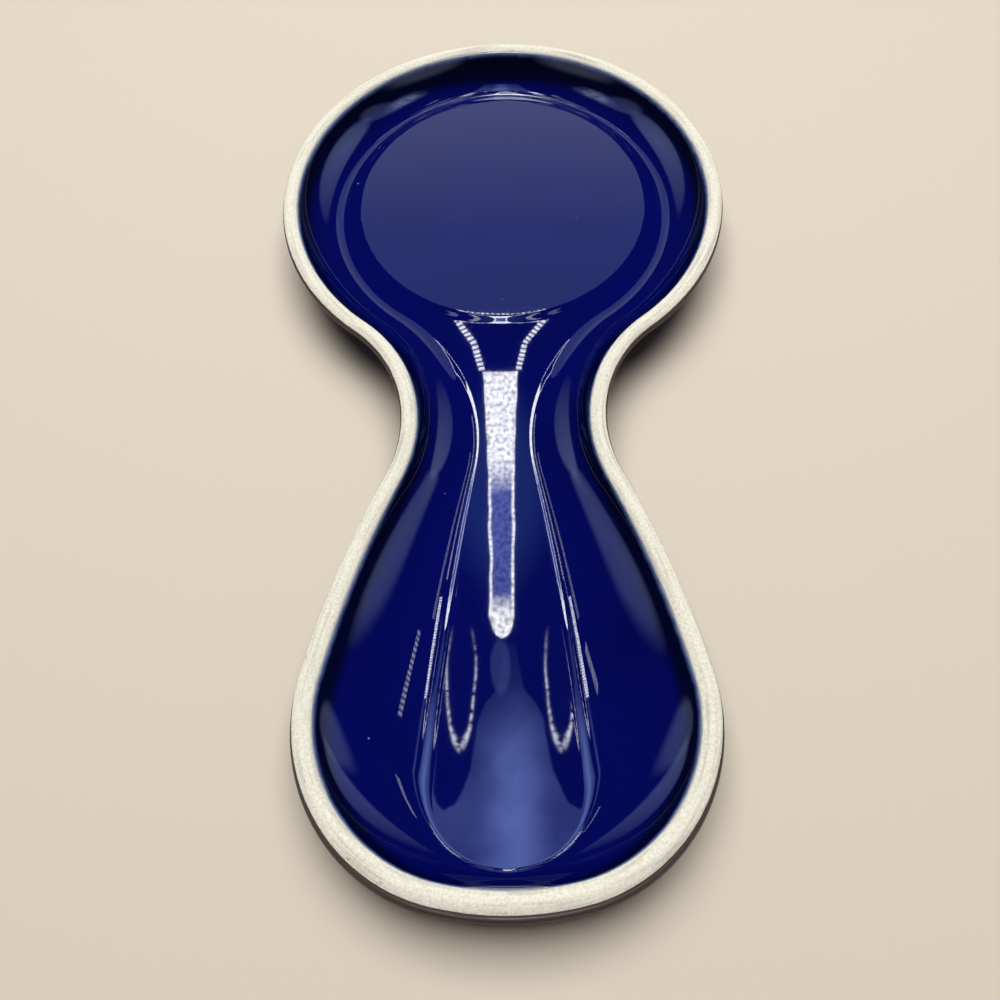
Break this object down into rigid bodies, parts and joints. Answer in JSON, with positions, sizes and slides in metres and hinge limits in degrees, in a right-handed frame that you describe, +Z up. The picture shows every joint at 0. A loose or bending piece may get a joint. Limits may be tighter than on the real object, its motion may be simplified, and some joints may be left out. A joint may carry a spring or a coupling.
{
  "type": "spoon rest",
  "caption": "Glazed stoneware spoon rest: a round dish and a longer egg-shaped bowl joined by a narrow neck, with a bare cream rim and a low foot ring.",
  "frame": {"origin": "on the table, under the middle of the overall length and width", "axes": "+Z up, +Y along the length towards the round dish, +X across to the right seen from the bowl's end"},
  "size_m": [0.121, 0.24, 0.017],
  "materials": {
    "bare_stoneware": "matte fired clay, wiped bare",
    "cobalt_glaze": "high gloss",
    "navy_glaze": "high gloss"
  },
  "bodies": {
    "root": {"stoneware_body": "bare_stoneware", "interior_glaze": "cobalt_glaze", "exterior_glaze": "navy_glaze", "underside_glaze": "navy_glaze"}
  },
  "joints": []
}
